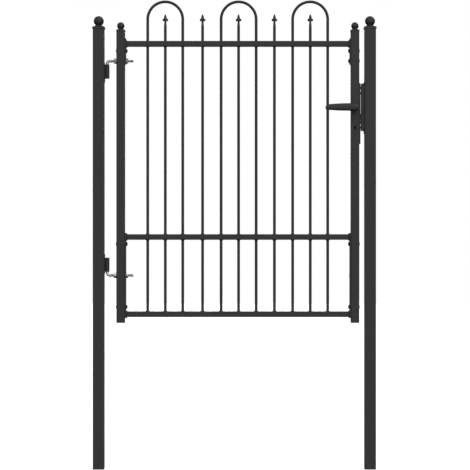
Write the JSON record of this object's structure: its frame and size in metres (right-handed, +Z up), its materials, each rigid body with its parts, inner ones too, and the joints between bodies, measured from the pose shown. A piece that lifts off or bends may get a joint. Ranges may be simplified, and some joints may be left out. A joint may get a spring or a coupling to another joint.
{
  "type": "garden gate",
  "caption": "Single-leaf garden gate of square steel tube with looped and spear-topped round bars, two ball-capped posts, pin hinges and a lever lock.",
  "frame": {"origin": "on the plane of the posts' cut feet, midway between the two posts", "axes": "+X to the right seen from the front, from the hinge post to the latch post; +Y away from the front; +Z up"},
  "size_m": [1.004, 0.1222, 1.658],
  "materials": {
    "painted_steel": "satin anthracite powder coat over steel",
    "zinc_plated_steel": "bright zinc plated steel",
    "black_steel": "black coated steel fasteners",
    "black_plastic": "black polyethylene plugs",
    "lock_steel": "dark phosphated lock steel"
  },
  "bodies": {
    "posts": {"hinge_post": "painted_steel", "latch_post": "painted_steel", "hinge_post_cap": "painted_steel", "latch_post_cap": "painted_steel", "hinge_post_threaded_inserts": "painted_steel", "latch_post_threaded_inserts": "painted_steel", "upper_hinge_plate": "painted_steel", "upper_hinge_barrel": "painted_steel", "lower_hinge_plate": "painted_steel", "lower_hinge_barrel": "painted_steel", "strike_box": "painted_steel", "strike_base_plate": "painted_steel", "strike_screws": "black_steel"},
    "leaf": {"hinge_stile": "painted_steel", "latch_stile": "painted_steel", "hinge_stile_cap": "painted_steel", "latch_stile_cap": "painted_steel", "top_rail": "painted_steel", "middle_rail": "painted_steel", "bottom_rail": "painted_steel", "upper_hinge_end_plate": "painted_steel", "lower_hinge_end_plate": "painted_steel", "upper_latch_end_plate": "painted_steel", "lower_latch_end_plate": "painted_steel", "left_hoop": "painted_steel", "middle_hoop": "painted_steel", "right_hoop": "painted_steel", "spear_bar_1": "painted_steel", "spear_bar_2": "painted_steel", "spear_bar_3": "painted_steel", "spear_bar_4": "painted_steel", "spear_bar_5": "painted_steel", "lock_faceplate": "painted_steel", "frame_bolts": "painted_steel", "upper_hinge_bolt": "zinc_plated_steel", "lower_hinge_bolt": "zinc_plated_steel", "hinge_nuts": "zinc_plated_steel", "hinge_thin_nuts": "zinc_plated_steel", "hinge_washers": "zinc_plated_steel", "cap_nuts": "black_steel", "faceplate_screws": "black_steel", "stile_bottom_plugs": "black_plastic", "hole_plug": "black_plastic", "lock_case": "lock_steel", "lock_case_cover": "lock_steel", "rocker_stud": "lock_steel", "lever_return_spring": "lock_steel", "lock_ward_plate": "lock_steel"},
    "handle": {"front_lever": "painted_steel", "back_knob": "painted_steel", "lever_spindle": "lock_steel", "lever_grub_screws": "black_steel", "lock_follower": "lock_steel"},
    "rocker": {"latch_rocker": "lock_steel"},
    "latch": {"latch_bolt": "lock_steel"},
    "deadbolt": {"dead_bolt": "lock_steel"}
  },
  "joints": [
    {"name": "gate_swing", "type": "hinge", "parent": "posts", "child": "leaf", "pos_m": [-0.45, 0, 0.7225], "axis": [0, 0, 1], "range_deg": [-90, 90]},
    {"name": "lever_turn", "type": "hinge", "parent": "leaf", "child": "handle", "pos_m": [0.4265, 0, 1.277], "axis": [0, -1, 0], "range_deg": [0, 40], "stiffness_Nm_per_rad": 1.2, "springref_deg": -28.65},
    {"name": "rocker_turn", "type": "hinge", "parent": "leaf", "child": "rocker", "pos_m": [0.4265, 0, 1.251], "axis": [0, 1, 0], "range_deg": [0, 60.3]},
    {"name": "latch_slide", "type": "slide", "parent": "leaf", "child": "latch", "axis": [-1, 0, 0], "range_m": [0, 0.01252]},
    {"name": "dead_bolt_slide", "type": "slide", "parent": "leaf", "child": "deadbolt", "axis": [1, 0, 0], "range_m": [0, 0.01]}
  ],
  "couplings": [
    {"joint": "rocker_turn", "follows": "lever_turn", "ratio": 1.505},
    {"joint": "latch_slide", "follows": "lever_turn", "m_per_rad": 0.017905}
  ]
}
